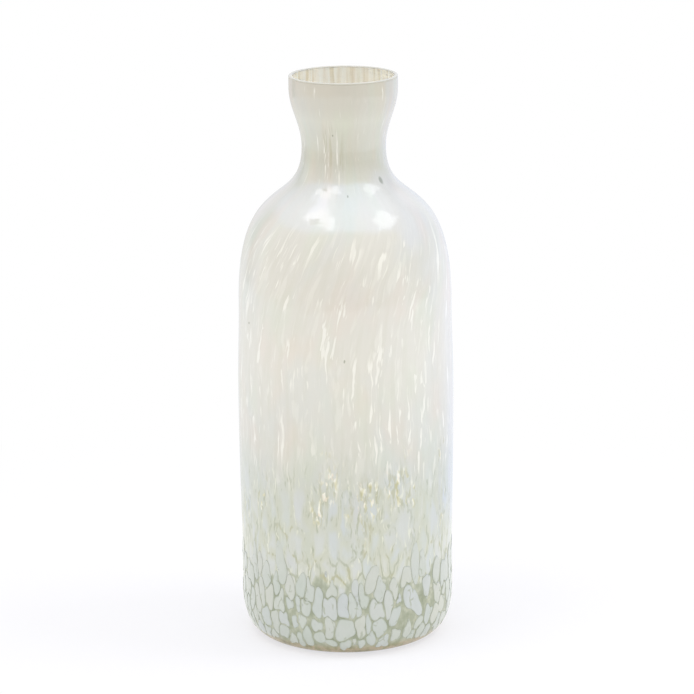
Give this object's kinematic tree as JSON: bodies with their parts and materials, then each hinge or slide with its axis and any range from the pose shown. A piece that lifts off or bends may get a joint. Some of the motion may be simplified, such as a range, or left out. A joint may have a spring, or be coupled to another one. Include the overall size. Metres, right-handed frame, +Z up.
{
  "type": "bottle vase",
  "caption": "Tall bottle vase of blown glass: straight body with a rounded heel, steep shoulder, narrow waisted neck and flared mouth, with milky frit fused round the outside.",
  "frame": {"origin": "centre of the resting ring, on the surface that the vase stands on", "axes": "+Z up along the axis of the turned body, towards the mouth; +X to the right and -Y towards the picture's camera"},
  "size_m": [0.1104, 0.1104, 0.29],
  "materials": {
    "clear_glass": "clear, faintly olive blown glass, fire-polished",
    "milky_frit": "opal white frit melted into a milky glossy sheet",
    "frit_chips": "opal white frit chips, glossy"
  },
  "bodies": {
    "root": {"clear_glass_body": "clear_glass", "opal_frit_skin": "milky_frit", "frit_chip_01": "frit_chips", "frit_chip_02": "frit_chips", "frit_chip_03": "frit_chips", "frit_chip_04": "frit_chips", "frit_chip_05": "frit_chips", "frit_chip_06": "frit_chips", "frit_chip_07": "frit_chips", "frit_chip_08": "frit_chips", "frit_chip_09": "frit_chips", "frit_chip_10": "frit_chips", "frit_chip_11": "frit_chips", "frit_chip_12": "frit_chips", "frit_chip_13": "frit_chips", "frit_chip_14": "frit_chips", "frit_chip_15": "frit_chips", "frit_chip_16": "frit_chips", "frit_chip_17": "frit_chips", "frit_chip_18": "frit_chips", "frit_chip_19": "frit_chips", "frit_chip_20": "frit_chips", "frit_chip_21": "frit_chips", "frit_chip_22": "frit_chips", "frit_chip_23": "frit_chips", "frit_chip_24": "frit_chips", "frit_chip_25": "frit_chips", "frit_chip_26": "frit_chips", "frit_chip_27": "frit_chips", "frit_chip_28": "frit_chips", "frit_chip_29": "frit_chips", "frit_chip_30": "frit_chips", "frit_chip_31": "frit_chips", "frit_chip_32": "frit_chips", "frit_chip_33": "frit_chips", "frit_chip_34": "frit_chips", "frit_chip_35": "frit_chips", "frit_chip_36": "frit_chips", "frit_chip_37": "frit_chips", "frit_chip_38": "frit_chips", "frit_chip_39": "frit_chips", "frit_chip_40": "frit_chips", "frit_chip_41": "frit_chips", "frit_chip_42": "frit_chips", "frit_chip_43": "frit_chips", "frit_chip_44": "frit_chips", "frit_chip_45": "frit_chips", "frit_chip_46": "frit_chips", "frit_chip_47": "frit_chips", "frit_chip_48": "frit_chips", "frit_chip_49": "frit_chips", "frit_chip_50": "frit_chips", "frit_chip_51": "frit_chips", "frit_chip_52": "frit_chips", "frit_chip_53": "frit_chips", "frit_chip_54": "frit_chips"}
  },
  "joints": []
}
